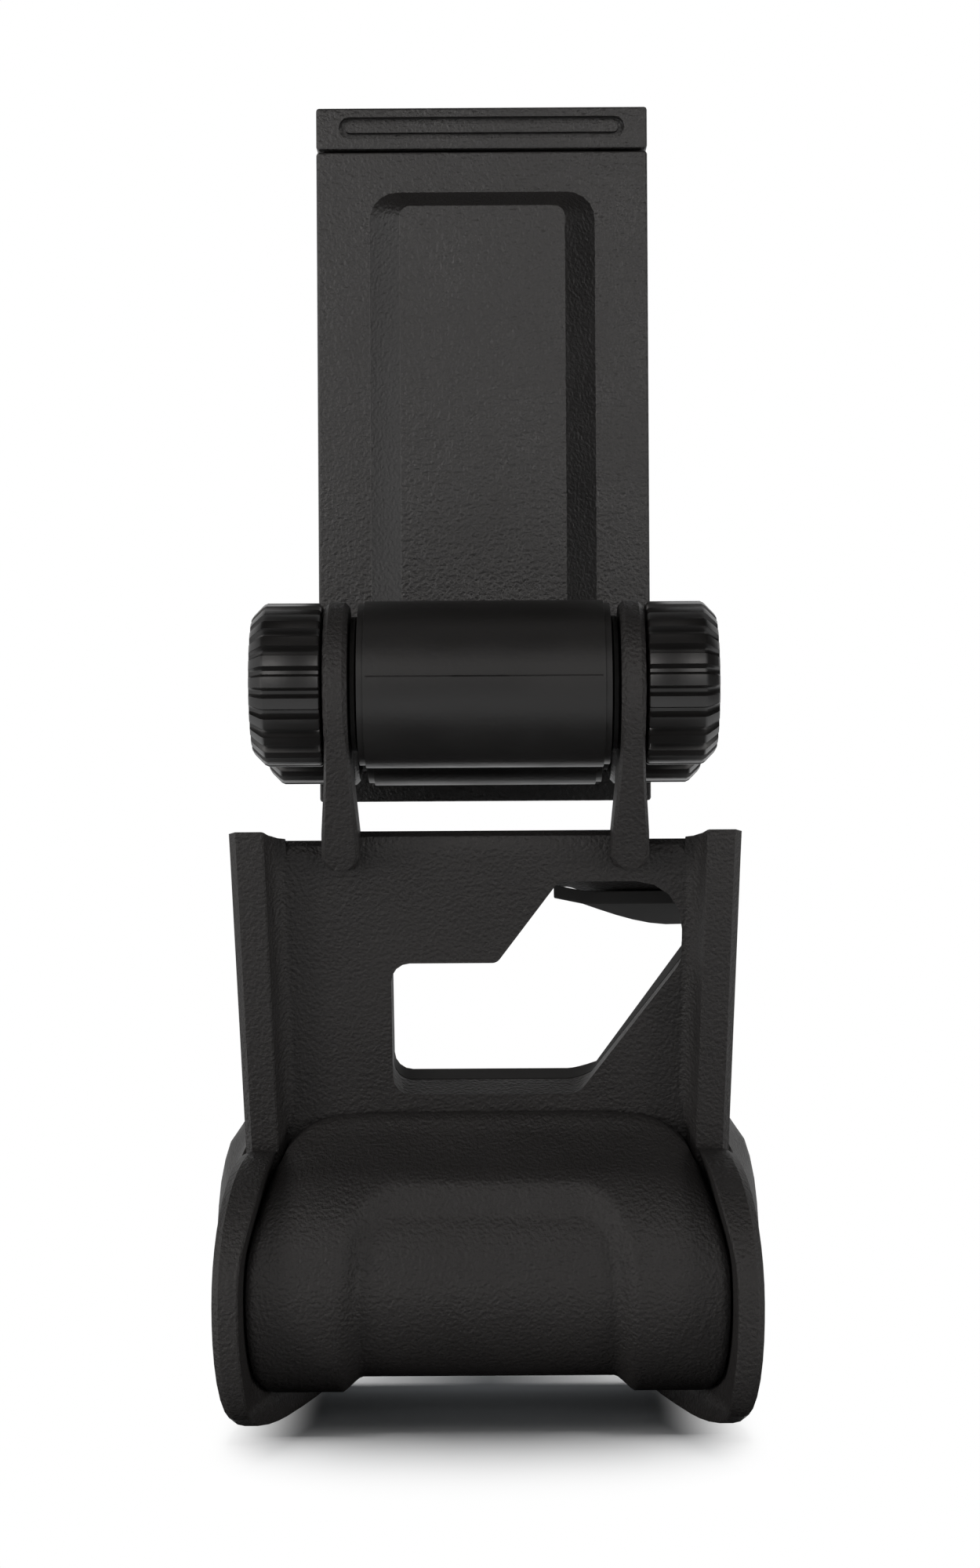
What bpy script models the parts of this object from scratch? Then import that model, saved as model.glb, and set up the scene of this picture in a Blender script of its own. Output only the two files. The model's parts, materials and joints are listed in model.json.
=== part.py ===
"""A clip that holds a phone above a game controller.

Metres, +Z up.  The clip stands on its rim feet as in the photograph, with the saddle towards -Y
and the phone side towards +Y.  Sizes are worked out in a drawing frame whose y = 0 is the front
hinge's axis and whose z = 0 is the ground; the last step centres the whole assembly on the origin.
"""
from math import cos, hypot, pi, radians, sin, sqrt, tan

import bmesh
import bpy
from mathutils import Matrix, Vector

MM = 0.001

# Clearances
seat_gap = 0.3 * MM
side_play = 0.25 * MM
bore_gap = 0.3 * MM

# Hinges
front_axis_z = 82.5 * MM
link_reach = 24.0 * MM
link_drop = 1.9 * MM
barrel_radius = 9.1 * MM
barrel_half = 13.6 * MM
collar_length = 0.7 * MM
collar_step = 0.3 * MM
washer_radius = 7.4 * MM
washer_thickness = 0.5 * MM
ear_radius = 9.0 * MM
ear_thickness = 2.6 * MM
ear_round = 0.5 * MM
link_web_half = 11.5 * MM
link_web_height = 9.0 * MM
link_web_wall = 1.6 * MM

# Knobs and their bolts
knob_radius = 8.9 * MM
knob_width = 7.7 * MM
knob_chamfer = 1.5 * MM
knob_ribs = 24
rib_depth = 0.8 * MM
bolt_radius = 2.0 * MM
head_across = 7.0 * MM
head_height = 2.8 * MM
head_recess = 1.1 * MM

# Port plate and hook
lean = radians(19.0)
rail_top_z = 66.5 * MM
rail_top_y = 0.8 * MM
rail_proud = 3.0 * MM
rail_half_top = 28.1 * MM
rail_half_kink = 27.5 * MM
rail_face = 3.8 * MM
rail_draft = 0.8 * MM
edge_bevel = 0.75 * MM
fillet_size = 1.3 * MM
fillet_end_z = 32.0 * MM
fillet_full_z = 36.0 * MM
plate_thickness = 4.0 * MM
plate_half = 26.4 * MM
plate_bottom_z = 27.0 * MM
crease_drop = 2.7 * MM
liner_thickness = 2.7 * MM
liner_half = 21.6 * MM
liner_bottom_z = 33.0 * MM
liner_top_drop = 10.5 * MM
hook_slope = radians(17.0)
hook_thickness = 2.6 * MM
hook_tip_y = 28.0 * MM
hook_tip_drop = 10.4 * MM
hook_middle_y = 10.6 * MM
hook_tip_round = 4.8 * MM
hook_rise = 1.0 * MM
hook_pad_start = 9.0 * MM
hook_pad_inset = 1.1 * MM
pad_thickness = 1.5 * MM

# Cut-out in the port plate, as (x, height, corner radius) on the plate's front
window_left = -10.7 * MM
window_low = 36.2 * MM
window_step = 51.5 * MM
window_high_drop = 5.8 * MM
window_right = 21.9 * MM
window_small_round = 2.1 * MM
window_large_round = 5.2 * MM
slant_run = 6.9 * MM
lobe_window_width = 13.8 * MM
lobe_window_height = 9.2 * MM

# Rims, feet and cheeks
rim_radius = 15.0 * MM
rim_tuck = 0.868 * MM
rim_depth = 5.5 * MM
rim_bulge = 2.5 * MM
rim_squareness = 3.0
rim_wall = 2.9 * MM
rim_draft = 0.3 * MM
cheek_flare = 2.4 * MM
cheek_wall = 2.5 * MM
cheek_step = 0.15 * MM
cheek_top_z = 32.3 * MM
cheek_length = 15.5 * MM
cheek_taper_z = 30.0 * MM
wall_blend_z = 18.0 * MM
wall_blend_height = 9.0 * MM
toe_in = 7.5 * MM
toe_length = 26.0 * MM
toe_height = 3.0 * MM

# Hump cover, the shell behind it and the pad inside
hump_setback = 3.0 * MM
hump_thickness = 2.6 * MM
hump_crown = 4.8 * MM
hump_side_rise = 5.4 * MM
hump_edge_drop = 0.45 * MM
panel_depth = 1.4 * MM
panel_half_top = 15.2 * MM
panel_half_low = 16.4 * MM
panel_wall = 2.2 * MM
panel_corner = 5.4 * MM
shell_thickness = 2.0 * MM
floor_length = 17.5 * MM
cradle_pad_half = 17.0 * MM

# Arms from the plate up to the ears
arm_top_z = 77.5 * MM
arm_foot_drop = 4.0 * MM
arm_foot_width = 4.2 * MM

# Phone clamp
clamp_half = 20.2 * MM
clamp_drop = 11.1 * MM
clamp_height = 79.3 * MM
boss_clearance = 0.4 * MM
boss_height = 3.0 * MM
boss_half = 13.75 * MM
boss_slope = 3.75 * MM
boss_top_drop = 5.0 * MM
boss_top_slope = 2.2 * MM
boss_bottom_rise = 2.0 * MM
boss_round = 3.4 * MM
plateau_round = 1.3 * MM
cover_wall = 1.8 * MM
housing_wall = 1.9 * MM
tongue_inset = 6.2 * MM
tongue_thickness = 1.4 * MM
tongue_length = 46.0 * MM
cap_height = 5.1 * MM
jaw_reach = 16.5 * MM
jaw_depth = 9.7 * MM
jaw_lip = 3.0 * MM
jaw_lip_width = 3.4 * MM
jaw_round = 2.5 * MM
groove_inset = 2.8 * MM
groove_height = 2.6 * MM
groove_depth = 1.0 * MM
groove_rib_height = 1.1 * MM
back_pad_inset = 5.8 * MM
back_pad_thickness = 1.2 * MM
back_pad_low_gap = 4.8 * MM
back_pad_high_gap = 5.0 * MM

# Springs and the posts that hold them
spring_radius = 1.7 * MM
spring_wire = 0.3 * MM
spring_x = 5.5 * MM
spring_turns = 7
post_radius = 0.8 * MM
low_post_rise = 8.0 * MM
tongue_post_rise = 9.4 * MM

# Screws
screw_inset = 2.9 * MM
screw_low_rise = 16.0 * MM
screw_high_drop = 12.8 * MM
screw_head_radius = 1.8 * MM
screw_head_height = 1.2 * MM
screw_radius = 0.9 * MM

# Places that follow from the sizes above
crease_z = rail_top_z - crease_drop
liner_top_z = rail_top_z - liner_top_drop
hook_tip_z = rail_top_z - hook_tip_drop
window_high = rail_top_z - window_high_drop
arm_foot_z = rail_top_z - arm_foot_drop
front_axis = Vector((0, 0, front_axis_z))
rear_axis = Vector((0, link_reach, front_axis_z - link_drop))
ear_inner = barrel_half + side_play + washer_thickness + side_play
ear_outer = ear_inner + ear_thickness
knob_inner = ear_outer + seat_gap
knob_outer = knob_inner + knob_width
bore_radius = bolt_radius + bore_gap
pocket_floor = knob_outer - head_recess - head_height - seat_gap
rim_centre_z = rim_radius
rim_centre_y = rail_top_y + (rail_top_z - 2 * rim_radius) * tan(lean) - rim_tuck
cheek_back_y = rim_centre_y + cheek_length
floor_end_y = rim_centre_y + floor_length
toe_y = rim_centre_y + toe_length
hump_radius = rim_radius - hump_setback
shell_radius = hump_radius - hump_thickness - seat_gap
cradle_radius = shell_radius - shell_thickness
clamp_bottom_z = front_axis_z - link_drop - clamp_drop
boss_y = link_reach + barrel_radius + boss_clearance
clamp_back_y = boss_y + boss_height
cover_front_y = clamp_back_y + cover_wall
housing_back_y = cover_front_y + seat_gap
spring_y = boss_y + cover_wall + seat_gap + spring_radius + spring_wire
tongue_back_y = spring_y + spring_radius + spring_wire + seat_gap
tongue_front_y = tongue_back_y + tongue_thickness
channel_y = tongue_front_y + seat_gap
housing_front_y = channel_y + housing_wall
jaw_tip_y = housing_front_y + jaw_reach
clamp_top_z = clamp_bottom_z + clamp_height
cap_bottom_z = clamp_top_z + seat_gap
cap_top_z = cap_bottom_z + cap_height
low_post_z = clamp_bottom_z + low_post_rise
high_post_z = cap_bottom_z - tongue_length + tongue_post_rise
tongue_half = clamp_half - tongue_inset
screw_x = clamp_half - screw_inset
screw_low_z = clamp_bottom_z + screw_low_rise
screw_high_z = clamp_top_z - screw_high_drop
front_most_y = -barrel_radius


# Helpers

def smooth(t):
    """Ease from 0 to 1 as t goes from 0 to 1, and stay there outside."""
    t = min(max(t, 0.0), 1.0)
    return t * t * (3 - 2 * t)


def mesh_of(bm):
    """Close a bmesh into a mesh with its faces pointing out."""
    bmesh.ops.remove_doubles(bm, verts=bm.verts, dist=1e-7)
    bmesh.ops.recalc_face_normals(bm, faces=bm.faces)
    mesh = bpy.data.meshes.new("form")
    bm.to_mesh(mesh)
    bm.free()
    return mesh


def loft(sections):
    """A closed solid through rings of points, one ring after another."""
    bm = bmesh.new()
    rings = [[bm.verts.new(point) for point in section] for section in sections]
    count = len(rings[0])
    for lower, upper in zip(rings, rings[1:]):
        for i in range(count):
            j = (i + 1) % count
            bm.faces.new((lower[i], lower[j], upper[j], upper[i]))
    bm.faces.new(rings[0])
    bm.faces.new(rings[-1])
    bm.normal_update()
    bmesh.ops.triangulate(bm, faces=bm.faces)
    return mesh_of(bm)


def extrude(outline, axis, low, high):
    """Push a flat outline along one axis; its points name the other two axes in order."""
    def place(point, along):
        values = list(point)
        values.insert("XYZ".index(axis), along)
        return values
    return loft([[place(p, low) for p in outline], [place(p, high) for p in outline]])


def rounded(corners, steps=4):
    """An outline whose corners, given as (a, b, radius), are turned into arcs."""
    points = []
    for i, (a, b, radius) in enumerate(corners):
        here = Vector((a, b))
        before = (Vector(corners[i - 1][:2]) - here).normalized()
        after = (Vector(corners[(i + 1) % len(corners)][:2]) - here).normalized()
        if radius == 0:
            points.append(here)
            continue
        half = before.angle(after) / 2
        centre = here + (before + after).normalized() * radius / sin(half)
        start = here + before * radius / tan(half) - centre
        end = here + after * radius / tan(half) - centre
        turn = start.angle_signed(end)
        for k in range(steps + 1):
            angle = -turn * k / steps
            points.append(centre + Matrix.Rotation(angle, 2) @ start)
    return points


def box(low, high, bevel=0.0):
    """A block between two corners, with its edges broken if a bevel is given."""
    bm = bmesh.new()
    bmesh.ops.create_cube(bm, size=1)
    low, high = Vector(low), Vector(high)
    bmesh.ops.scale(bm, vec=high - low, verts=bm.verts)
    bmesh.ops.translate(bm, vec=(low + high) / 2, verts=bm.verts)
    if bevel:
        bmesh.ops.bevel(bm, geom=bm.edges[:], offset=bevel, affect="EDGES", segments=2, profile=0.5)
    return mesh_of(bm)


def rod(radius, start, end, sides=24):
    """A cylinder from one point to another."""
    start, end = Vector(start), Vector(end)
    way = end - start
    bm = bmesh.new()
    bmesh.ops.create_cone(bm, cap_ends=True, segments=sides, radius1=radius, radius2=radius, depth=way.length)
    turn = Vector((0, 0, 1)).rotation_difference(way).to_matrix()
    bmesh.ops.rotate(bm, cent=(0, 0, 0), matrix=turn, verts=bm.verts)
    bmesh.ops.translate(bm, vec=(start + end) / 2, verts=bm.verts)
    return mesh_of(bm)


def turned(profile, axis_point, sides=28):
    """Spin an (x, radius) profile about the line along X through a point."""
    bm = bmesh.new()
    verts = [bm.verts.new((x, 0, radius)) for x, radius in profile]
    pairs = list(zip(verts, verts[1:]))
    if profile[0][1] > 0:
        pairs.append((verts[-1], verts[0]))
    edges = [bm.edges.new(pair) for pair in pairs]
    bmesh.ops.spin(bm, geom=verts + edges, cent=(0, 0, 0), axis=(1, 0, 0), angle=2 * pi, steps=sides,
                   use_merge=True)
    bmesh.ops.translate(bm, vec=axis_point, verts=bm.verts)
    return mesh_of(bm)


def boolean(body, tool, operation):
    """Join two meshes, cut one from the other or keep what they share."""
    holders = [bpy.data.objects.new(name, mesh) for name, mesh in (("body", body), ("tool", tool))]
    for holder in holders:
        bpy.context.scene.collection.objects.link(holder)
    step = holders[0].modifiers.new("step", "BOOLEAN")
    step.operation = operation
    step.object = holders[1]
    graph = bpy.context.evaluated_depsgraph_get()
    result = bpy.data.meshes.new_from_object(holders[0].evaluated_get(graph))
    for holder in holders:
        bpy.data.objects.remove(holder)
    return result


def join(body, *tools):
    for tool in tools:
        body = boolean(body, tool, "UNION")
    return body


def cut(body, *tools):
    for tool in tools:
        body = boolean(body, tool, "DIFFERENCE")
    return body


def mirrored(mesh):
    """The same form on the other side of the middle plane."""
    bm = bmesh.new()
    bm.from_mesh(mesh)
    bmesh.ops.scale(bm, vec=(-1, 1, 1), verts=bm.verts)
    return mesh_of(bm)


def flattened(mesh):
    """The same solid with its flat runs of small triangles merged."""
    bm = bmesh.new()
    bm.from_mesh(mesh)
    bmesh.ops.remove_doubles(bm, verts=bm.verts, dist=1e-7)
    bmesh.ops.dissolve_limit(bm, angle_limit=radians(0.4), use_dissolve_boundaries=False,
                             verts=bm.verts, edges=bm.edges)
    bm.normal_update()
    bmesh.ops.triangulate(bm, faces=bm.faces, ngon_method="EAR_CLIP")
    bmesh.ops.recalc_face_normals(bm, faces=bm.faces)
    bm.to_mesh(mesh)
    bm.free()
    return mesh


def material(name, colour, roughness, metallic=0.0):
    look = bpy.data.materials.new(name)
    look.use_nodes = True
    shader = look.node_tree.nodes["Principled BSDF"]
    shader.inputs["Base Color"].default_value = (*colour, 1)
    shader.inputs["Roughness"].default_value = roughness
    shader.inputs["Metallic"].default_value = metallic
    return look


def add(name, mesh, look, carrier):
    """Place a finished piece under the empty that carries it, with its origin there."""
    empty, origin = carrier
    mesh = flattened(mesh)
    mesh.transform(Matrix.Translation(-Vector(origin)))
    mesh.materials.clear()
    mesh.materials.append(look)
    mesh.shade_smooth()
    mesh.set_sharp_from_angle(angle=radians(35))
    piece = bpy.data.objects.new(name, mesh)
    piece.parent = empty
    parts.objects.link(piece)
    return piece


# The port plate's planes: depth is measured square to the plate, from the rails' front

def plate_y(z, depth):
    return rail_top_y + (rail_top_z - z) * tan(lean) + depth / cos(lean)


def on_plate(x, z, depth):
    """The point a given depth behind the rails' front at height z, square to the plate."""
    return Vector((x, plate_y(z, 0) + depth * cos(lean), z + depth * sin(lean)))


def hook_under(y):
    return hook_tip_z + (hook_tip_y - y) * tan(hook_slope)


def hook_edge(x):
    """How far back the hook reaches at a place across it: two lobes and a notch between them."""
    lobe = plate_half - hook_tip_round + 0.3 * MM
    reach = hook_middle_y + (hook_tip_y - hook_middle_y) * smooth((abs(x) - 1.5 * MM) / (lobe - 1.5 * MM))
    over = max(abs(x) - lobe, 0)
    return reach - hook_tip_round + sqrt(hook_tip_round ** 2 - over ** 2)


def plate_and_hook():
    """The leaning plate and the hook at its top, lofted across the clip."""
    stations = [0, 2.5, 5, 7.5, 10, 12.5, 14, 18, 20, 22, 23.5, 24.8, 25.7]
    stations = [s * MM for s in stations] + [plate_half]
    front, back = rail_proud, rail_proud + plate_thickness
    slab = hook_thickness / cos(hook_slope)
    sections = []
    for x in [-s for s in reversed(stations[1:])] + stations:
        rise = hook_rise * (1 - smooth((abs(x) - stations[6]) / (stations[7] - stations[6])))
        edge = hook_edge(x)
        top_y = plate_y(crease_z, front) + 1.5 * MM
        root_y = plate_y(hook_under(hook_middle_y), back)
        sections.append([
            (x, plate_y(plate_bottom_z, front), plate_bottom_z),
            (x, plate_y(crease_z, front), crease_z),
            (x, plate_y(crease_z, front) + 0.4 * MM, hook_under(top_y) + slab + rise - 0.6 * MM),
            (x, top_y, hook_under(top_y) + slab + rise),
            (x, edge - 0.5 * MM, hook_under(edge) + slab),
            (x, edge, hook_under(edge) + slab - 0.7 * MM),
            (x, edge, hook_under(edge) + 0.5 * MM),
            (x, edge - 0.4 * MM, hook_under(edge)),
            (x, root_y, hook_under(root_y)),
            (x, plate_y(plate_bottom_z, back), plate_bottom_z),
        ])
    return loft(sections)


def window_outline():
    """The cut-out for the port and the pairing button, as (x, height on the plate's front)."""
    slant = slant_run / (window_high - window_step)
    knee = window_high - lobe_window_height
    small, large = window_small_round, window_large_round
    turn_x = window_right - lobe_window_width
    return rounded([
        (window_left, window_low, small),
        (window_right - (knee - window_low) * slant, window_low, small),
        (window_right, knee, small * 1.4),
        (window_right, window_high, large),
        (turn_x, window_high, small * 0.7),
        (turn_x - slant_run, window_step, small * 0.5),
        (window_left, window_step, small),
    ])


def window_cutter():
    outline = window_outline()
    front, back = -2 * MM, rail_proud + plate_thickness + 3 * liner_thickness

    def ring(depth):
        points = []
        for x, z in outline:
            height = z - rail_proud * sin(lean)
            points.append(on_plate(x, height, depth))
        return points
    return loft([ring(front), ring(back)])


# The rims, cheeks and feet share one outer form, given as the half width at any (y, z)

def outer_x(y, z):
    upright = smooth(z / (1.2 * rim_radius))
    bow = rim_bulge * sqrt(max(0.0, 1 - ((z - rim_centre_z) / rim_radius) ** 2))
    flare = cheek_flare * smooth((y - rim_centre_y - 3.5 * MM) / (12 * MM)) * upright
    flare *= 1 - 0.5 * smooth((z - cheek_taper_z) / (2.5 * MM))
    toe_start = rim_centre_y - rim_radius / 2
    along = min(max((y - toe_start) / (toe_y - toe_start), 0.0), 1.0)
    toe = toe_in * (1 - (1 - along) ** 1.5) * (1 - upright)
    return rail_half_kink + bow + flare - toe


def rim_wall_at(z):
    thicker = (rail_face - rim_wall) * smooth((z - wall_blend_z) / wall_blend_height)
    return rim_wall + thicker - 0.5 * MM * (1 - smooth(z / (6 * MM)))


def inner_x(y, z):
    """Half width between the rims' drafted inner walls at a point in the side view."""
    from_rim = min(rim_radius - hypot(y - rim_centre_y, z - rim_centre_z), z if y > rim_centre_y else 1)
    draft = rim_draft * min(max(from_rim / hump_setback, 0.0), 1.0)
    return outer_x(y, z) - rim_wall_at(z) - draft


def rail():
    """One side rail, from its top down into the rim, with a fillet where it meets the plate."""
    sections = []
    low_z = plate_bottom_z - 1 * MM
    for z in (rail_top_z, crease_z, fillet_full_z, fillet_end_z, low_z):
        share = (z - 2 * rim_radius) / (rail_top_z - 2 * rim_radius)
        outside = rail_half_kink + (rail_half_top - rail_half_kink) * share
        edge = outside - rail_face
        inner = edge - rail_draft
        foot = 0.1 * MM + fillet_size * smooth((z - fillet_end_z) / (fillet_full_z - fillet_end_z))
        reach = rail_proud + plate_thickness + seat_gap + liner_thickness
        back_z = hook_under(plate_y(z, reach)) + hook_thickness if z == rail_top_z else z
        deep = rail_proud + 0.4 * plate_thickness

        def at(x, depth):
            return (x, plate_y(z, depth), z + (back_z - z) * depth / reach)
        sections.append([
            at(outside, reach), at(outside, edge_bevel), at(outside - edge_bevel, 0),
            at(edge + 0.2 * MM, 0), at(edge, 0.2 * MM), at(edge - 0.6 * rail_draft, 0.5 * rail_proud),
            at(inner, rail_proud - foot * 0.8), at(inner - 0.4 * foot, rail_proud - foot * 0.25),
            at(inner - foot, rail_proud + 0.05 * MM), at(inner - foot, deep),
            at(inner + 0.3 * MM, reach - liner_thickness), at(inner + 0.3 * MM, reach),
        ])
    return loft(sections)


def rim_reach(angle):
    """The rim's radius: a circle above, and squarer below, where the foot comes forward."""
    if angle <= pi:
        return rim_radius
    n = rim_squareness
    return rim_radius / (abs(cos(angle)) ** n + abs(sin(angle)) ** n) ** (1 / n)


def rim():
    """One rim: round the hump's side and on as a foot, its inner wall drafted."""
    path = []
    arc_steps, foot_steps = 24, 5
    first, last = radians(72), radians(270)
    for i in range(arc_steps + 1):
        angle = first + (last - first) * i / arc_steps
        path.append((rim_centre_y, rim_centre_z, rim_reach(angle), cos(angle), sin(angle)))
    for i in range(1, foot_steps + 1):
        y = rim_centre_y + (toe_y - rim_centre_y) * i / foot_steps
        path.append((y, rim_centre_z, rim_radius, 0, -1))
    sections = []
    for i, (cy, cz, radius, dy, dz) in enumerate(path):
        depth_end = toe_height if i == len(path) - 1 else rim_depth

        def at(depth, side, shift=0.0):
            y, z = cy + dy * (radius - depth), cz + dz * (radius - depth)
            if side == "out":
                return (outer_x(y, z) - shift, y, z)
            return (inner_x(y, z) + shift, y, z)
        sections.append([
            at(depth_end, "out"), at(hump_setback, "out"), at(edge_bevel, "out"), at(0, "out", edge_bevel),
            at(0, "in", 0.2 * MM), at(0.2 * MM, "in"), at(hump_setback, "in"), at(depth_end, "in"),
        ])
    return loft(sections)


def cheek():
    """The side wall behind one rim: it flares at the top and draws in towards the toe."""
    top, toe = Vector((cheek_back_y, cheek_top_z)), Vector((toe_y - 0.4 * MM, 0.5 * toe_height))
    pull_top, pull_toe = Vector((5.5 * MM, 0)), Vector((-7 * MM, 9 * MM))
    cover = rim_radius - 0.8 * rim_depth
    sections = []
    steps = 13
    for i in range(steps + 1):
        t = i / steps
        a, b, c, d = (1 - t) ** 3, 3 * t * (1 - t) ** 2, 3 * t * t * (1 - t), t ** 3
        edge = a * top + b * (top + pull_top) + c * (toe + pull_toe) + d * toe
        z = edge.y
        half_chord = sqrt(max(0.0, cover ** 2 - (z - rim_centre_z) ** 2))
        start = rim_centre_y - half_chord + (4 * MM if z > rim_centre_z + cover else 0)
        stops = [start + (edge.x - start) * k / 5 for k in range(6)]
        outside = [(outer_x(y, z) - cheek_step, y, z) for y in stops]
        inside = [(outer_x(y, z) - cheek_step - cheek_wall, y, z) for y in reversed(stops)]
        sections.append(outside + inside)
    return loft(sections)


def side_rise(angle):
    """How far the hump and the shell behind it rise above their circle near the plate."""
    return hump_side_rise * min(max((radians(110) - angle) / radians(36), 0.0), 1.0) ** 2


def hump_profile(angle, share, thickness=0.0):
    """The hump's radius about the rim's centre; share is the place across it, 0 at the middle."""
    crown = hump_crown * min(max((radians(165) - angle) / radians(82), 0.0), 1.1) ** 1.3
    return hump_radius - thickness + side_rise(angle) + crown * (1 - share ** 8)


def top_angle(share, thickness):
    """The angle at which the hump's profile runs into the plate's front."""
    low, high = radians(50), radians(120)
    for _ in range(40):
        middle = (low + high) / 2
        radius = hump_profile(middle, share, thickness)
        y = rim_centre_y + radius * cos(middle)
        z = rim_centre_z + radius * sin(middle)
        if y > plate_y(z, rail_proud) - seat_gap / cos(lean):
            low = middle
        else:
            high = middle
    return high


def panel_half(angle):
    """Half width of the blank panel recess, with its rounded upper corners."""
    start, full = radians(118), radians(190)
    half = panel_half_top + (panel_half_low - panel_half_top) * smooth((angle - start) / (full - start))
    down = min(max((angle - start) / radians(27), 0.0), 1.0)
    return half - panel_corner * (1 - sqrt(1 - (1 - down) ** 2))


def hump_half(t, last, thickness):
    """The hump's half width along its edge: between the rims, and closer in beside the rails."""
    angle = top_angle(1, thickness)
    angle += t * (last - angle)
    radius = hump_profile(angle, 1, thickness)
    y, z = rim_centre_y + radius * cos(angle), rim_centre_z + radius * sin(angle)
    clear_of_rail = smooth((plate_y(z, 0.2 * rail_proud) - y) / rail_proud)
    beside_rail = rail_half_kink - rail_face - rail_draft
    return beside_rail + (inner_x(y, z) - beside_rail) * clear_of_rail - seat_gap


def hump_cover():
    """The bulged cover: a drafted barrel between the rims, crowned where it meets the plate."""
    rows, last = 16, radians(262)
    sections = []
    for i in range(-1, rows + 1):
        t = max(i, 0.6 * (i + 1)) / rows
        middle = top_angle(0, 0) + t * (last - top_angle(0, 0))
        outer_edge = panel_half(max(middle, radians(118)))
        inner_edge = outer_edge - panel_wall

        def ring(thickness, depth):
            half = hump_half(t, last, thickness)
            columns = [(0, 1), (inner_edge * 0.55, 1), (inner_edge, 1), (inner_edge + panel_wall * 0.3, 0.8),
                       (inner_edge + panel_wall * 0.75, 0.2), (outer_edge, 0),
                       ((outer_edge + half) / 2, 0), (half - 2.6 * MM, 0), (half - 1.1 * MM, 0),
                       (half - 0.4 * MM, 0), (half, 0)]
            columns = [(-x, mask) for x, mask in reversed(columns[1:])] + columns
            points = []
            for x, mask in columns:
                share = x / half
                angle = top_angle(share, thickness)
                angle += t * (last - angle)
                fade = smooth((angle - radians(118)) / radians(13))
                radius = hump_profile(angle, share, thickness) - depth * mask * fade
                if i < 0 and depth:
                    radius -= hump_edge_drop
                if abs(share) == 1 and depth:
                    radius -= 0.4 * MM
                points.append((x, rim_centre_y + radius * cos(angle), rim_centre_z + radius * sin(angle)))
            return points
        sections.append(ring(0, panel_depth) + ring(hump_thickness, 0)[::-1])
    return loft(sections)


def shell():
    """The wall behind the hump and the cradle's floor, which tie the two sides together."""
    path = []
    steps = 24
    for i in range(steps + 1):
        angle = radians(64) + radians(270 - 64) * i / steps
        path.append((rim_centre_y, shell_radius + side_rise(angle), cos(angle), sin(angle)))
    for i in range(1, 4):
        path.append((rim_centre_y + (floor_end_y - rim_centre_y) * i / 3, shell_radius, 0, -1))
    sections = []
    for cy, radius, dy, dz in path:
        ring = []
        for r in (radius, radius - shell_thickness):
            y, z = cy + dy * r, rim_centre_z + dz * r
            half = outer_x(y, z) - rim_wall / 2
            ring += [(half, y, z), (-half, y, z)] if r == radius else [(-half, y, z), (half, y, z)]
        sections.append(ring)
    return loft(sections)


def ear(axis):
    """A round hinge ear on the +X side, its edges softly rounded."""
    low = ear_radius - ear_round
    return turned([(ear_inner, 0), (ear_inner, low), (ear_inner + ear_round, ear_radius),
                   (ear_outer - ear_round, ear_radius), (ear_outer, low), (ear_outer, 0)], axis)


def arm():
    """One arm: slim at the ear, wider and bevelled at its foot on the plate."""
    middle = (ear_inner + ear_outer) / 2
    top_width = ear_thickness - 0.2 * MM
    drop = front_axis_z - arm_top_z
    front_top = -sqrt(ear_radius ** 2 - drop ** 2) + 0.15 * MM
    front_foot = plate_y(arm_foot_z, 0)
    sections = []
    for t, tuck in ((0, 1), (0.35, 1), (0.75, 1), (0.93, 1), (0.99, 0.75), (1.02, 0.4)):
        z = arm_top_z + (arm_foot_z - arm_top_z) * t
        width = top_width + (arm_foot_width - top_width) * smooth(t * 1.05)
        front = front_top + (front_foot - front_top) * t
        back = 3.5 * MM + 6 * MM * t
        face = 0.8 * width * tuck
        ring = []
        for x, y in ((face / 2, front), (width / 2 * tuck, front + 0.7 * MM), (width / 2, back - 0.7 * MM),
                     (0.35 * width, back)):
            ring.append((x, y))
        ring += [(-x, y) for x, y in reversed(ring)]
        sections.append([(middle + x, y, z) for x, y in ring])
    return loft(sections)


def saddle_frame():
    """The one-piece frame: plate, hook, rails, rims, cheeks, cradle wall, arms and ears."""
    frame = plate_and_hook()
    sides = [rail(), rim(), cheek(), arm(), ear(front_axis)]
    frame = join(frame, shell())
    for side in sides:
        frame = join(frame, side, mirrored(side))
    reach = ear_outer + 1 * MM
    bore = rod(bore_radius, front_axis - Vector((reach, 0, 0)), front_axis + Vector((reach, 0, 0)))
    return cut(frame, window_cutter(), bore)


def port_pad():
    """The soft liner on the controller's side of the plate, with the same cut-out."""
    near = rail_proud + plate_thickness + seat_gap
    far = near + liner_thickness
    high = liner_top_z
    slab = extrude([(plate_y(liner_bottom_z, near), liner_bottom_z), (plate_y(high, near), high),
                    (plate_y(high, far), high), (plate_y(liner_bottom_z, far), liner_bottom_z)],
                   "X", -liner_half, liner_half)
    return cut(slab, window_cutter())


def hook_pad():
    """The pad under the hook's lobe on the +X side."""
    first, last = hook_pad_start, plate_half - hook_pad_inset
    root = plate_y(liner_top_z, rail_proud + plate_thickness + liner_thickness) + 2 * MM
    sections = []
    for i in range(9):
        x = first + (last - first) * i / 8
        edge = hook_edge(x) - hook_pad_inset
        start = min(root, edge - 1 * MM)
        sections.append([(x, y, hook_under(y) - seat_gap - drop) for y, drop in
                         ((start, 0), (edge, 0), (edge, pad_thickness * 0.6), (edge - 0.6 * MM, pad_thickness),
                          (start, pad_thickness))])
    return loft(sections)


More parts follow.
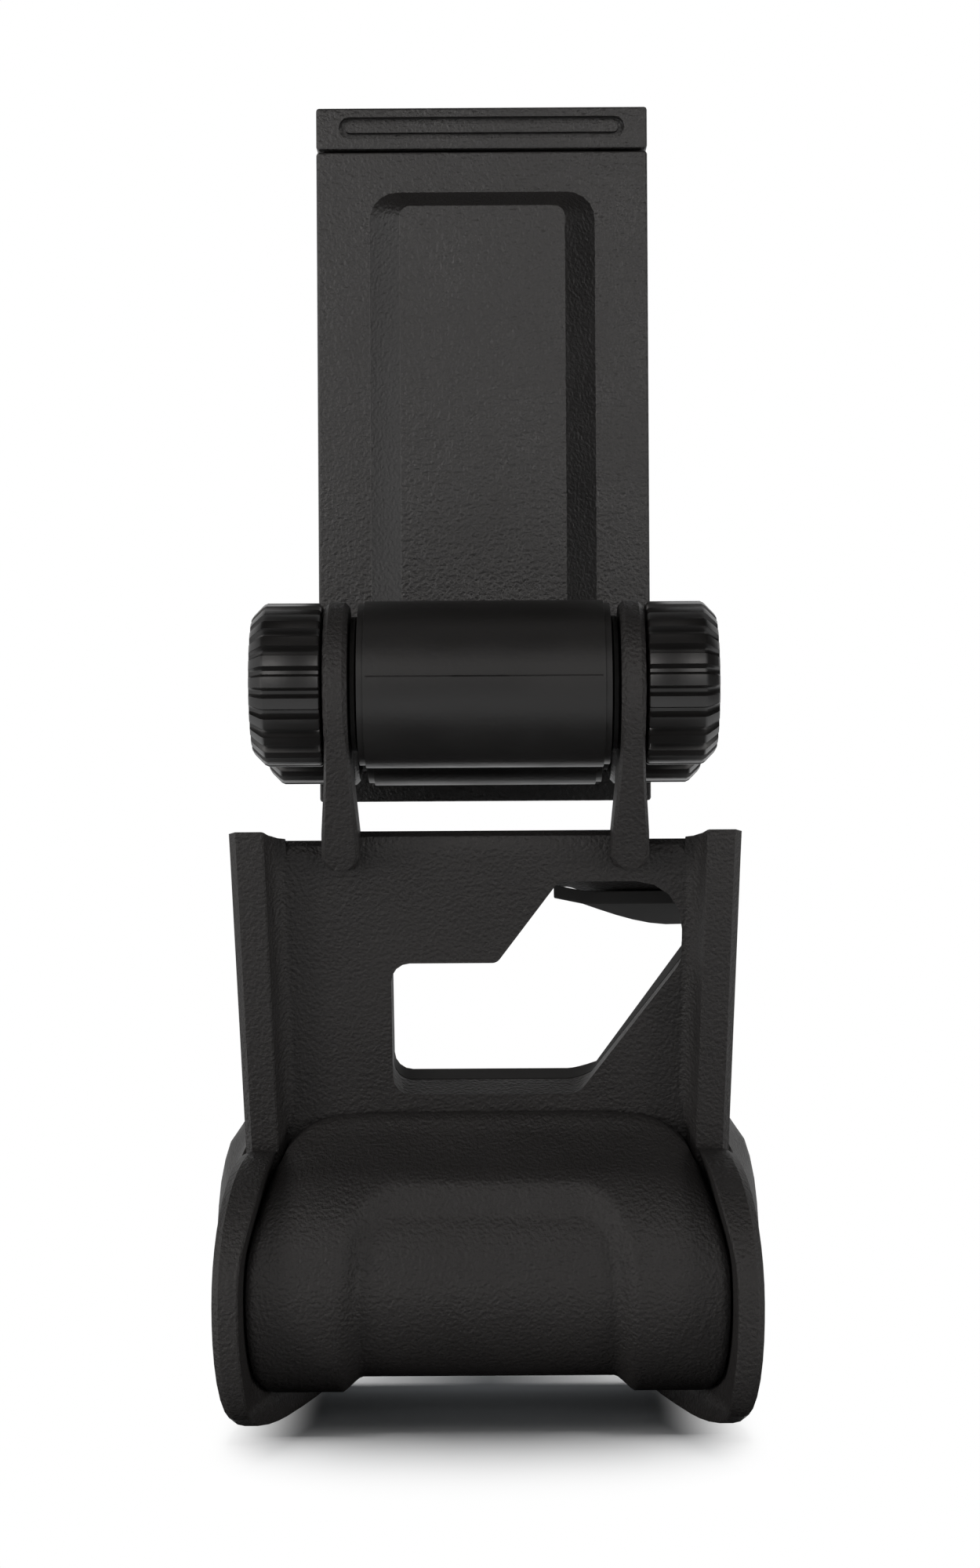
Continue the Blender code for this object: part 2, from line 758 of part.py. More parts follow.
def cradle_pad():
    """The rubber pad that lines the hollow for the controller's body."""
    outer = cradle_radius - seat_gap
    inner = outer - pad_thickness
    front, back = [], []
    for i in range(9):
        angle = radians(130 + 140 * i / 8)
        front.append((rim_centre_y + outer * cos(angle), rim_centre_z + outer * sin(angle)))
        back.append((rim_centre_y + inner * cos(angle), rim_centre_z + inner * sin(angle)))
    end = floor_end_y - 1.5 * MM
    front.append((end, rim_centre_z - outer))
    back.append((end, rim_centre_z - inner))
    return extrude(front + back[::-1], "X", -cradle_pad_half, cradle_pad_half)


# Hinge pieces

def link_arm():
    """The link: a barrel on each hinge and a ribbed web between them."""
    step = barrel_half - collar_length
    low = barrel_radius - collar_step
    profile = [(-barrel_half, 0), (-barrel_half, low), (-step, low), (-step, barrel_radius),
               (step, barrel_radius), (step, low), (barrel_half, low), (barrel_half, 0)]
    middle_z = (front_axis.z + rear_axis.z) / 2
    near, far = 0.45 * barrel_radius, link_reach - 0.45 * barrel_radius
    high, deep = middle_z + link_web_height / 2, middle_z - link_web_height / 2
    web = box((-link_web_half, near, deep), (link_web_half, far, high))
    body = join(turned(profile, front_axis, 36), turned(profile, rear_axis, 36), web)
    cell_front, cell_back = barrel_radius + 0.4 * MM, link_reach - barrel_radius - 0.4 * MM
    cells = 3
    pitch = (2 * link_web_half - link_web_wall) / cells
    for i in range(cells):
        left = -link_web_half + link_web_wall + pitch * i
        body = cut(body, box((left, cell_front, deep - 1 * MM),
                             (left + pitch - link_web_wall, cell_back, high - link_web_wall)))
    for axis in (front_axis, rear_axis):
        end = Vector((barrel_half + 1 * MM, 0, 0))
        body = cut(body, rod(bore_radius, axis - end, axis + end))
    return body


def knob(axis):
    """The ribbed knob on the +X side, with a hexagonal pocket open to the outside."""
    period = 2 * pi / knob_ribs

    def ring(x, radius, depth):
        points = []
        for i in range(knob_ribs):
            for share, dip in ((-0.2, 0), (0.2, 0), (0.34, depth), (0.66, depth)):
                angle = (i + share) * period
                r = radius - dip
                points.append((x, r * cos(angle), r * sin(angle)))
        return points
    body = loft([ring(knob_inner, knob_radius, rib_depth),
                 ring(knob_outer - knob_chamfer, knob_radius, rib_depth),
                 ring(knob_outer, knob_radius - knob_chamfer, rib_depth * 0.7)])
    side = Vector((1, 0, 0))
    bore = rod(bore_radius, side * (knob_inner - 1 * MM), side * (knob_outer + 1 * MM))
    pocket_radius = (head_across / 2 + seat_gap) / cos(pi / 6)
    pocket = rod(pocket_radius, side * pocket_floor, side * (knob_outer + 1 * MM), 6)
    body = cut(body, bore, pocket)
    body.transform(Matrix.Translation(axis))
    return body


def hexagon(axis, start, end):
    side = Vector((1, 0, 0))
    return rod(head_across / 2 / cos(pi / 6), axis + side * start, axis + side * end, 6)


def hinge_bolt(axis):
    """The steel bolt: its head in the left knob, its end through the nut in the right one."""
    side = Vector((1, 0, 0))
    head_inner = pocket_floor + seat_gap
    head = hexagon(axis, -head_inner - head_height, -head_inner)
    shank = rod(bolt_radius, axis - side * (head_inner + 0.5 * MM), axis + side * (head_inner + head_height))
    return join(head, shank)


def hinge_nut(axis):
    start = pocket_floor + seat_gap
    side = Vector((1, 0, 0))
    bore = rod(bore_radius, axis + side * (start - 1 * MM), axis + side * (start + head_height + 1 * MM))
    return cut(hexagon(axis, start, start + head_height), bore)


def washer(axis):
    start = barrel_half + side_play
    end = start + washer_thickness
    return turned([(start, bore_radius), (start, washer_radius), (end, washer_radius), (end, bore_radius)],
                  axis, 24)


# Phone clamp

def boss_outline(inset, half, top, corner, bottom):
    return [Vector(p) for p in rounded([(-half + inset, bottom + inset, 0), (half - inset, bottom + inset, 0),
                                        (half - inset, top - inset, corner),
                                        (-half + inset, top - inset, corner)], 5)]


def boss_form(inset, back, front, lift=0.0):
    """The long raised boss: lofted from its wide base to its narrower plateau."""
    top = clamp_top_z - boss_top_drop
    low = clamp_bottom_z + boss_bottom_rise
    base = boss_outline(inset, boss_half, top, max(boss_round - inset, 0.4 * MM), low)
    face = boss_outline(inset, boss_half - boss_slope, top - boss_top_slope,
                        max(plateau_round - inset, 0.4 * MM), low + boss_top_slope)
    return loft([[(x, y, z) for x, z in base] for y in (front, clamp_back_y - lift)] +
                [[(x, back, z) for x, z in face]])


def clamp_cover():
    """The clamp's back shell, with the hollow boss, the hinge lugs and the low spring posts."""
    plate = box((-clamp_half, clamp_back_y, clamp_bottom_z), (clamp_half, cover_front_y, clamp_top_z), 0.35 * MM)
    body = join(plate, boss_form(0, boss_y, clamp_back_y + 0.6 * MM))
    body = cut(body, boss_form(cover_wall, boss_y + cover_wall, cover_front_y + 1 * MM, -0.2 * MM))
    lug_half_height = ear_radius * 0.85
    lug = join(ear(rear_axis), box((ear_inner + 0.1 * MM, rear_axis.y, rear_axis.z - lug_half_height),
                                   (ear_outer - 0.1 * MM, clamp_back_y + 0.8 * MM, rear_axis.z + lug_half_height)))
    end = Vector((ear_outer + 1 * MM, 0, 0))
    body = cut(join(body, lug, mirrored(lug)), rod(bore_radius, rear_axis - end, rear_axis + end))
    for x in (-spring_x, spring_x):
        post = rod(post_radius, (x, boss_y + 0.5 * cover_wall, low_post_z),
                   (x, tongue_back_y - seat_gap, low_post_z), 12)
        body = join(body, post)
    for x in (-screw_x, screw_x):
        for z in (screw_low_z, screw_high_z):
            hole = rod(screw_radius + seat_gap, (x, clamp_back_y + 0.6 * MM, z), (x, cover_front_y + 1 * MM, z), 12)
            body = cut(body, hole)
    return body


def jaw_outline(sign, inner_z, outer_z):
    """Side view of a jaw: a floor under the phone's edge and a lip that hooks over its face."""
    tip = jaw_tip_y
    lip = tip - jaw_lip_width
    root = housing_front_y + seat_gap
    return rounded([
        (root, outer_z, 0),
        (tip, outer_z, jaw_round * 1.4),
        (tip, inner_z + sign * jaw_lip, 0.9 * MM),
        (lip, inner_z + sign * jaw_lip, 0.9 * MM),
        (lip - 1.4 * MM, inner_z, 0.8 * MM),
        (root, inner_z, 0),
    ], 3)


def jaw_pad(sign, inner_z):
    """The rubber pad in a jaw: ribbed along the clip, so that the phone doesn't slip."""
    start = housing_front_y + back_pad_thickness + 2 * seat_gap
    end = jaw_tip_y - jaw_lip_width - 2.2 * MM
    ribs = 5
    pitch = (end - start) / ribs
    low = inner_z + sign * seat_gap
    crest = low + sign * pad_thickness
    dip = crest - sign * 0.45 * MM
    outline = [(start, low)]
    for i in range(ribs):
        y = start + pitch * i
        outline += [(y, dip), (y + 0.25 * pitch, crest), (y + 0.75 * pitch, crest)]
    outline += [(end, dip), (end, low)]
    half = clamp_half - 1.2 * MM
    return extrude(outline, "X", -half, half)


def clamp_housing():
    """The phone side of the clamp: a tray with the tongue's channel, and the fixed lower jaw."""
    tray = box((-clamp_half, housing_back_y, clamp_bottom_z), (clamp_half, housing_front_y, clamp_top_z),
               0.35 * MM)
    inner = clamp_bottom_z + jaw_depth
    jaw = extrude([(y - 1 * MM if y < housing_front_y + 1 * MM else y, z)
                   for y, z in jaw_outline(1, inner, clamp_bottom_z + 0.2 * MM)], "X",
                  -clamp_half + 0.2 * MM, clamp_half - 0.2 * MM)
    channel_half = tongue_half + seat_gap
    channel = box((-channel_half, housing_back_y - 1 * MM, clamp_bottom_z + 3.5 * MM),
                  (channel_half, channel_y, clamp_top_z + 1 * MM))
    body = cut(join(tray, jaw), channel)
    for x in (-screw_x, screw_x):
        for z in (screw_low_z, screw_high_z):
            body = cut(body, rod(screw_radius + seat_gap, (x, housing_back_y - 1 * MM, z),
                                 (x, housing_front_y - 1 * MM, z), 12),
                       rod(screw_head_radius + seat_gap, (x, housing_front_y - screw_head_height - 2 * seat_gap, z),
                           (x, housing_front_y + 1 * MM, z), 16))
    return body


def upper_jaw():
    """The sliding jaw: grooved cap, hooked jaw and the tongue that runs down inside the clamp."""
    inner = cap_top_z - jaw_depth
    jaw = extrude(jaw_outline(-1, inner, cap_top_z - 0.2 * MM), "X", -clamp_half + 0.2 * MM,
                  clamp_half - 0.2 * MM)
    cap = box((-clamp_half, clamp_back_y, cap_bottom_z), (clamp_half, housing_front_y + 2 * MM, cap_top_z),
              0.35 * MM)
    tongue = box((-tongue_half, tongue_back_y, cap_bottom_z - tongue_length),
                 (tongue_half, tongue_front_y, cap_bottom_z + 1 * MM))
    body = join(jaw, cap, tongue)
    middle = cap_bottom_z + 0.52 * cap_height

    def slot(half, height, start, end):
        r = 0.46 * height
        outline = rounded([(-half, middle - height / 2, r), (half, middle - height / 2, r),
                           (half, middle + height / 2, r), (-half, middle + height / 2, r)], 3)
        return extrude(outline, "Y", start, end)
    groove_half = clamp_half - groove_inset
    body = cut(body, slot(groove_half, groove_height, clamp_back_y - 1 * MM, clamp_back_y + groove_depth))
    body = join(body, slot(groove_half - 0.75 * MM, groove_rib_height, clamp_back_y + 0.3 * groove_depth,
                           clamp_back_y + groove_depth + 0.5 * MM))
    for x in (-spring_x, spring_x):
        post = rod(post_radius, (x, boss_y + cover_wall + seat_gap, high_post_z),
                   (x, tongue_back_y + 0.5 * tongue_thickness, high_post_z), 12)
        body = join(body, post)
    return body


def back_pad():
    front = housing_front_y + seat_gap
    half = clamp_half - back_pad_inset
    low = clamp_bottom_z + jaw_depth + back_pad_low_gap
    high = cap_top_z - jaw_depth - back_pad_high_gap
    return box((-half, front, low), (half, front + back_pad_thickness, high), 0.3 * MM)


def cover_screw(x, z):
    """A pan-head screw from the phone side, in through the housing to the cover."""
    head_back = housing_front_y - screw_head_height - seat_gap
    end = clamp_back_y + 0.6 * MM + seat_gap
    shank = rod(screw_radius, (x, end, z), (x, head_back + 0.4 * MM, z), 12)
    head = rod(screw_head_radius, (x, head_back, z), (x, head_back + screw_head_height, z), 16)
    return join(head, shank)


def spring(x):
    """A tension spring: a coil with a hook round the post at each end, as one bent wire."""
    hook = post_radius + seat_gap + spring_wire
    low, high = low_post_z + 2.4 * MM, high_post_z - 2.4 * MM
    points = []
    for i in range(7):
        angle = radians(-180 + 180 * i / 6)
        points.append((x + hook * cos(angle), spring_y, low_post_z + hook * sin(angle)))
    per_turn = 8
    for i in range(spring_turns * per_turn + 1):
        angle = 2 * pi * i / per_turn
        z = low + (high - low) * i / (spring_turns * per_turn)
        points.append((x + spring_radius * cos(angle), spring_y + spring_radius * sin(angle), z))
    for i in range(7):
        angle = radians(180 * i / 6)
        points.append((x + hook * cos(angle), spring_y, high_post_z + hook * sin(angle)))
    line = bpy.data.curves.new("wire", "CURVE")
    line.dimensions = "3D"
    line.bevel_depth = spring_wire
    line.bevel_resolution = 0
    line.use_fill_caps = True
    path = line.splines.new("POLY")
    path.points.add(len(points) - 1)
    for point, place in zip(path.points, points):
        point.co = (*place, 1)
    holder = bpy.data.objects.new("wire", line)
    bpy.context.scene.collection.objects.link(holder)
    mesh = bpy.data.meshes.new_from_object(holder.evaluated_get(bpy.context.evaluated_depsgraph_get()))
    bpy.data.objects.remove(holder)
    bm = bmesh.new()
    bm.from_mesh(mesh)
    bmesh.ops.remove_doubles(bm, verts=bm.verts, dist=1e-6)
    return mesh_of(bm)


# Assembly

for old in list(bpy.data.objects):
    bpy.data.objects.remove(old, do_unlink=True)
parts = bpy.data.collections.new("controller_phone_clip")
bpy.context.scene.collection.children.link(parts)


def empty(name, parent, offset):
    holder = bpy.data.objects.new(name, None)
    holder.empty_display_size = 5 * MM
    holder.parent = parent
    holder.location = offset
    parts.objects.link(holder)
    return holder


middle_y = (front_most_y + jaw_tip_y) / 2
assembly = empty("clip", None, (0, -middle_y, 0))
saddle_at = (empty("saddle", assembly, (0, 0, 0)), (0, 0, 0))
front_at = (empty("front_hinge_axis", saddle_at[0], front_axis), front_axis)
rear_at = (empty("rear_hinge_axis", front_at[0], rear_axis - front_axis), rear_axis)
slide_origin = Vector((0, tongue_back_y, clamp_top_z))
slide_at = (empty("jaw_slide_axis", rear_at[0], slide_origin - rear_axis), slide_origin)

matte_black = material("matte_black_plastic", (0.020, 0.020, 0.022), 0.62)
satin_black = material("satin_black_plastic", (0.012, 0.012, 0.013), 0.42)
pad_black = material("black_rubber", (0.028, 0.028, 0.029), 0.85)
steel = material("zinc_plated_steel", (0.62, 0.62, 0.64), 0.32, 1.0)
washer_grey = material("fibre_washer", (0.10, 0.095, 0.09), 0.8)

add("saddle_frame", saddle_frame(), matte_black, saddle_at)
add("hump_cover", hump_cover(), matte_black, saddle_at)
add("port_pad", port_pad(), pad_black, saddle_at)
add("cradle_pad", cradle_pad(), pad_black, saddle_at)
add("hook_pad_right", hook_pad(), pad_black, saddle_at)
add("hook_pad_left", mirrored(hook_pad()), pad_black, saddle_at)

add("link_arm", link_arm(), satin_black, front_at)
for place, axis, carrier in (("front", front_axis, front_at), ("rear", rear_axis, rear_at)):
    add(place + "_knob_right", knob(axis), satin_black, carrier)
    add(place + "_knob_left", mirrored(knob(axis)), satin_black, carrier)
    add(place + "_bolt", hinge_bolt(axis), steel, carrier)
    add(place + "_nut", hinge_nut(axis), steel, carrier)
    add(place + "_washer_right", washer(axis), washer_grey, carrier)
    add(place + "_washer_left", mirrored(washer(axis)), washer_grey, carrier)

add("clamp_cover", clamp_cover(), matte_black, rear_at)
add("clamp_housing", clamp_housing(), matte_black, rear_at)
add("back_pad", back_pad(), pad_black, rear_at)
add("lower_jaw_pad", jaw_pad(1, clamp_bottom_z + jaw_depth), pad_black, rear_at)
screw_places = [(x, z) for z in (screw_low_z, screw_high_z) for x in (-screw_x, screw_x)]
for number, (x, z) in enumerate(screw_places, 1):
    add("cover_screw_%d" % number, cover_screw(x, z), steel, rear_at)

add("upper_jaw", upper_jaw(), matte_black, slide_at)
add("upper_jaw_pad", jaw_pad(-1, cap_top_z - jaw_depth), pad_black, slide_at)
add("spring_left", spring(-spring_x), steel, slide_at)
add("spring_right", spring(spring_x), steel, slide_at)
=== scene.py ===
# %% [markdown]
# A clip that holds a phone above a game controller.
#
# The clip is black moulded plastic: a saddle that sits on the controller, a link with two hinges and four
# ribbed knobs, and a sprung clamp for the phone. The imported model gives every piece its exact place.
# This script dresses it: it rebuilds what shows most with rounder edges and finer forms, and gives every
# piece a procedural finish. Lengths are in metres, +Z is up, and the photograph looks along +Y.

# %% Load the frame
import json
from math import atan2, cos, hypot, pi, radians, sin, sqrt, tan

import bmesh
import bpy
from mathutils import Matrix, Vector

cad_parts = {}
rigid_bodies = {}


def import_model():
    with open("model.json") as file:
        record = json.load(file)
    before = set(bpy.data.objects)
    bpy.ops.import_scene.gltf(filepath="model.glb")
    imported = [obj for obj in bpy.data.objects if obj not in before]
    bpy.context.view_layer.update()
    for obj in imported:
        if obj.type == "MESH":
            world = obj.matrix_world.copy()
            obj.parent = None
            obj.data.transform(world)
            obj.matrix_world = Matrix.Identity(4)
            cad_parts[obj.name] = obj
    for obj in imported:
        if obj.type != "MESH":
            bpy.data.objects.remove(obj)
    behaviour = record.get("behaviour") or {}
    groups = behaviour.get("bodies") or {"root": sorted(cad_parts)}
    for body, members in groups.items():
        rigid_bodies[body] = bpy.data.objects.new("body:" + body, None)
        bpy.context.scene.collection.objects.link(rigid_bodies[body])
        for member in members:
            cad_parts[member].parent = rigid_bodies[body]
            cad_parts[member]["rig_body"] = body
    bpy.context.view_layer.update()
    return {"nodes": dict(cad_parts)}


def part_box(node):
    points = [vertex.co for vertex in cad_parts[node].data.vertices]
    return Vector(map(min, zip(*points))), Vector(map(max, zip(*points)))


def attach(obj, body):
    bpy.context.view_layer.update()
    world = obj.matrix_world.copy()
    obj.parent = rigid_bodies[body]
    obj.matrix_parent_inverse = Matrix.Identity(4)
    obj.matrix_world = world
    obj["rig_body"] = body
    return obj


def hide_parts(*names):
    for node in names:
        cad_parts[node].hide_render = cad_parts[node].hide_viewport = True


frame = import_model()
nodes = frame["nodes"]
MM = 0.001

# %% [markdown]
# The camera stands a third of a metre away, level with the middle of the clip. The focal length and the
# distance were found from the photograph: near things, such as the front knobs, look larger than the
# clamp behind them. The object leans a third of a degree to the left in the picture, so the camera is
# rolled by as much the other way.

# %% Camera
camera_place = Vector((0.55, -330.45, 71.6)) * MM
camera_roll = radians(-0.35)

lens = bpy.data.cameras.new("camera")
lens.sensor_width = 36
lens.lens = 64.26
lens.clip_start = 0.01
camera = bpy.data.objects.new("camera", lens)
camera.matrix_world = (Matrix.Translation(camera_place) @ Matrix.Rotation(radians(90), 4, "X")
                       @ Matrix.Rotation(camera_roll, 4, "Z"))
bpy.context.scene.collection.objects.link(camera)
bpy.context.scene.camera = camera
print("camera", [round(v / MM, 1) for v in camera.location], "mm")

# %% [markdown]
# Black plastic has hardly any colour of its own, so what is seen is mostly what it reflects. In the
# photograph the faces grow lighter towards both sides, the tops are dark and so are the undersides, and
# the left slopes are lighter than the right ones. So two soft lamps stand in front, left and right of
# the camera, the left one stronger. A third stands far out on the left, and a weak one hangs above.

# %% Light
bpy.context.scene.view_settings.view_transform = "Standard"
lamp_colour = (1, 0.965, 0.94)


def soft_lamp(name, place, aim, size, power):
    """A rectangular area lamp at a place in mm, turned towards another."""
    light = bpy.data.lights.new(name, "AREA")
    light.shape = "RECTANGLE"
    light.size, light.size_y = size[0] * MM, size[1] * MM
    light.energy = power
    light.color = lamp_colour
    lamp = bpy.data.objects.new(name, light)
    way = Vector(aim) - Vector(place)
    lamp.matrix_world = (Matrix.Translation(Vector(place) * MM)
                         @ way.to_track_quat("-Z", "Y").to_matrix().to_4x4())
    bpy.context.scene.collection.objects.link(lamp)
    return lamp


def math_node(tree, operation):
    node = tree.nodes.new("ShaderNodeMath")
    node.operation = operation
    return node


key = soft_lamp("key", (-200, -430, 255), (0, 0, 115), (150, 190), 0.50)
fill = soft_lamp("fill", (200, -430, 250), (0, 0, 115), (130, 190), 0.42)
top = soft_lamp("top", (0, -90, 420), (0, 0, 60), (200, 120), 0.05)
left = soft_lamp("left", (-360, -270, 130), (0, 0, 80), (130, 300), 0.20)
print("lamps", [lamp.name for lamp in (key, fill, top, left)])

# %% [markdown]
# A product picture has a pure white background. A white world gives it, but it would also light the clip
# from all sides. So the world asks what kind of ray is looking: it is white for the camera, a reflection
# or a ray through glass, and dim where it only adds light.

# %% World
room_colour, room_strength = (0.9, 0.95, 1, 1), 0.25
world = bpy.data.worlds.new("studio")
world.use_nodes = True
bpy.context.scene.world = world
tree = world.node_tree
tree.nodes.clear()
rays = tree.nodes.new("ShaderNodeLightPath")
seen = math_node(tree, "MAXIMUM")
seen_or_through = math_node(tree, "MAXIMUM")
dim = tree.nodes.new("ShaderNodeBackground")
dim.inputs["Color"].default_value = room_colour
dim.inputs["Strength"].default_value = room_strength
white = tree.nodes.new("ShaderNodeBackground")
white.inputs["Color"].default_value = (1, 1, 1, 1)
white.inputs["Strength"].default_value = 1
choice = tree.nodes.new("ShaderNodeMixShader")
out = tree.nodes.new("ShaderNodeOutputWorld")
tree.links.new(rays.outputs["Is Camera Ray"], seen.inputs[0])
tree.links.new(rays.outputs["Is Glossy Ray"], seen.inputs[1])
tree.links.new(seen.outputs[0], seen_or_through.inputs[0])
tree.links.new(rays.outputs["Is Transmission Ray"], seen_or_through.inputs[1])
tree.links.new(seen_or_through.outputs[0], choice.inputs["Fac"])
tree.links.new(dim.outputs[0], choice.inputs[1])
tree.links.new(white.outputs[0], choice.inputs[2])
tree.links.new(choice.outputs[0], out.inputs["Surface"])
print("world", world.name)

# %% [markdown]
# The floor is a sheet of white card. Close to the clip it is a plain white surface that keeps the soft
# shadow, and further out it fades into the white of the world, so that no horizon shows.

# %% Floor
floor_half = 600 * MM
paper_white = (0.92, 0.92, 0.92, 1)
fade_middle = (0, 10 * MM, 0)
fade_across = (19 * MM, 31 * MM)
fade_along = (26 * MM, 66 * MM)

bm = bmesh.new()
bmesh.ops.create_grid(bm, x_segments=1, y_segments=1, size=floor_half)
mesh = bpy.data.meshes.new("floor")
bm.to_mesh(mesh)
bm.free()
floor = bpy.data.objects.new("floor", mesh)
bpy.context.scene.collection.objects.link(floor)

card = bpy.data.materials.new("white_card")
card.use_nodes = True
tree = card.node_tree
paper = tree.nodes["Principled BSDF"]
paper.inputs["Base Color"].default_value = paper_white
paper.inputs["Roughness"].default_value = 0.9
paper.inputs["Specular IOR Level"].default_value = 0.1
glow = tree.nodes.new("ShaderNodeEmission")
where = tree.nodes.new("ShaderNodeTexCoord")
from_middle = tree.nodes.new("ShaderNodeVectorMath")
from_middle.operation = "SUBTRACT"
from_middle.inputs[1].default_value = fade_middle
positive = tree.nodes.new("ShaderNodeVectorMath")
positive.operation = "ABSOLUTE"
apart = tree.nodes.new("ShaderNodeSeparateXYZ")
tree.links.new(where.outputs["Object"], from_middle.inputs[0])
tree.links.new(from_middle.outputs[0], positive.inputs[0])
tree.links.new(positive.outputs[0], apart.inputs[0])
fade = math_node(tree, "MAXIMUM")
for i, (axis, (near, far)) in enumerate((("X", fade_across), ("Y", fade_along))):
    ramp = tree.nodes.new("ShaderNodeMapRange")
    ramp.interpolation_type = "SMOOTHSTEP"
    ramp.inputs["From Min"].default_value = near
    ramp.inputs["From Max"].default_value = far
    tree.links.new(apart.outputs[axis], ramp.inputs["Value"])
    tree.links.new(ramp.outputs["Result"], fade.inputs[i])
rays = tree.nodes.new("ShaderNodeLightPath")
only_seen = math_node(tree, "MULTIPLY")
choice = tree.nodes.new("ShaderNodeMixShader")
tree.links.new(fade.outputs[0], only_seen.inputs[0])
tree.links.new(rays.outputs["Is Camera Ray"], only_seen.inputs[1])
tree.links.new(only_seen.outputs[0], choice.inputs["Fac"])
tree.links.new(paper.outputs[0], choice.inputs[1])
tree.links.new(glow.outputs[0], choice.inputs[2])
tree.links.new(choice.outputs[0], tree.nodes["Material Output"].inputs["Surface"])
floor.data.materials.append(card)
print("floor", 2 * floor_half, "m across")

# %% [markdown]
# The shadow under the clip is soft and falls down and a little forwards, while the clip's tops stay dark.
# One set of lamps can't do both. Light linking parts the two: a lamp above and behind lights the floor
# alone, with the clip in its way, and the front lamps light all but the floor.

# %% Floor lamp
overhead = soft_lamp("floor_lamp", (0, 26, 420), (0, 0, 0), (240, 240), 3.4)
floor_only = bpy.data.collections.new("floor_only")
floor_only.objects.link(floor)
overhead.data.color = (1, 1, 1)
overhead.light_linking.receiver_collection = floor_only
all_but_floor = bpy.data.collections.new("all_but_floor")
all_but_floor.objects.link(floor)
all_but_floor.collection_objects[0].light_linking.link_state = "EXCLUDE"
for lamp in (key, fill, left, top):
    lamp.light_linking.receiver_collection = all_but_floor

# %% [markdown]
# A photographer keeps a black product black with black cards. They stand out of the picture and take
# the white of the room out of the reflections: one overhead, one close above the floor under the clip,
# one behind the camera and one out on the right. The camera doesn't see them and they cast no shadow.
# The one under the clip is left out of soft bounced light too, so that it doesn't dim the clip's foot.

# %% Black cards
flag_black = bpy.data.materials.new("flag_black")
flag_black.use_nodes = True
cloth = flag_black.node_tree.nodes["Principled BSDF"]
cloth.inputs["Base Color"].default_value = (0.004, 0.004, 0.004, 1)
cloth.inputs["Roughness"].default_value = 1.0
cloth.inputs["Specular IOR Level"].default_value = 0.0


def black_card(name, place, facing, size):
    """A flat card at a place in mm, square to a direction."""
    bm = bmesh.new()
    bmesh.ops.create_grid(bm, x_segments=1, y_segments=1, size=0.5)
    bmesh.ops.scale(bm, vec=(size[0] * MM, size[1] * MM, 1), verts=bm.verts)
    turn = Vector(facing).to_track_quat("Z", "Y").to_matrix().to_4x4()
    bmesh.ops.transform(bm, matrix=Matrix.Translation(Vector(place) * MM) @ turn, verts=bm.verts)
    mesh = bpy.data.meshes.new(name)
    bm.to_mesh(mesh)
    bm.free()
    flag = bpy.data.objects.new(name, mesh)
    mesh.materials.append(flag_black)
    flag.visible_camera = False
    flag.visible_shadow = False
    flag.visible_diffuse = name != "flag_floor"
    bpy.context.scene.collection.objects.link(flag)
    return flag


for name, place, facing, size in (("flag_top", (0, -150, 480), (0, 0, -1), (1200, 900)),
                                  ("flag_floor", (0, 0, 2), (0, 0, 1), (150, 210)),
                                  ("flag_camera", (0, -560, 150), (0, 1, 0), (240, 500)),
                                  ("flag_right", (420, -60, 220), (-1, 0, 0), (460, 600))):
    print(black_card(name, place, facing, size).name, size, "mm")

# %% [markdown]
# The moulds for such parts are spark-eroded, which leaves a fine matt grain of shallow pits about four
# tenths of a millimetre apart. One node group makes that grain for every moulded piece: two layers of
# noise give the pits, and a slow third layer gives the faint clouds that a matt moulding shows.

# %% Grain group
cell_share = 0.6
grain = bpy.data.node_groups.new("spark_grain", "ShaderNodeTree")
for title, value in (("Pit Scale", 3200.0), ("Cloud Scale", 90.0), ("Offset", 0.0)):
    socket = grain.interface.new_socket(title, in_out="INPUT", socket_type="NodeSocketFloat")
    socket.default_value = value
grain.interface.new_socket("Height", in_out="OUTPUT", socket_type="NodeSocketFloat")
grain.interface.new_socket("Cloud", in_out="OUTPUT", socket_type="NodeSocketFloat")
given = grain.nodes.new("NodeGroupInput")
made = grain.nodes.new("NodeGroupOutput")
where = grain.nodes.new("ShaderNodeTexCoord")
moved = grain.nodes.new("ShaderNodeVectorMath")
grain.links.new(where.outputs["Object"], moved.inputs[0])
grain.links.new(given.outputs["Offset"], moved.inputs[1])
pits = grain.nodes.new("ShaderNodeTexNoise")
pits.inputs["Detail"].default_value = 2
pits.inputs["Roughness"].default_value = 0.6
cells = grain.nodes.new("ShaderNodeTexVoronoi")
cells.feature = "SMOOTH_F1"
cloud = grain.nodes.new("ShaderNodeTexNoise")
cloud.inputs["Detail"].default_value = 3
both = math_node(grain, "MULTIPLY_ADD")
both.inputs[1].default_value = cell_share
for texture in (pits, cells, cloud):
    grain.links.new(moved.outputs[0], texture.inputs["Vector"])
grain.links.new(given.outputs["Pit Scale"], pits.inputs["Scale"])
grain.links.new(given.outputs["Pit Scale"], cells.inputs["Scale"])
grain.links.new(given.outputs["Cloud Scale"], cloud.inputs["Scale"])
grain.links.new(cells.outputs["Distance"], both.inputs[0])
grain.links.new(pits.outputs["Fac"], both.inputs[2])
grain.links.new(both.outputs[0], made.inputs["Height"])
grain.links.new(cloud.outputs["Fac"], made.inputs["Cloud"])
print("node group", grain.name)

# %% [markdown]
# Each material places the grain group with its own grain size and depth. The clamp and the saddle are
# matt, the barrels and knobs satin, and the pads dull rubber. Four blacks are needed, because in the
# photograph the faces part only by their gloss. Bolts, nuts and screws are zinc-plated steel, whose
# gloss varies in fine streaks.

# %% Materials
cloud_low, cloud_high = 0.3, 0.7


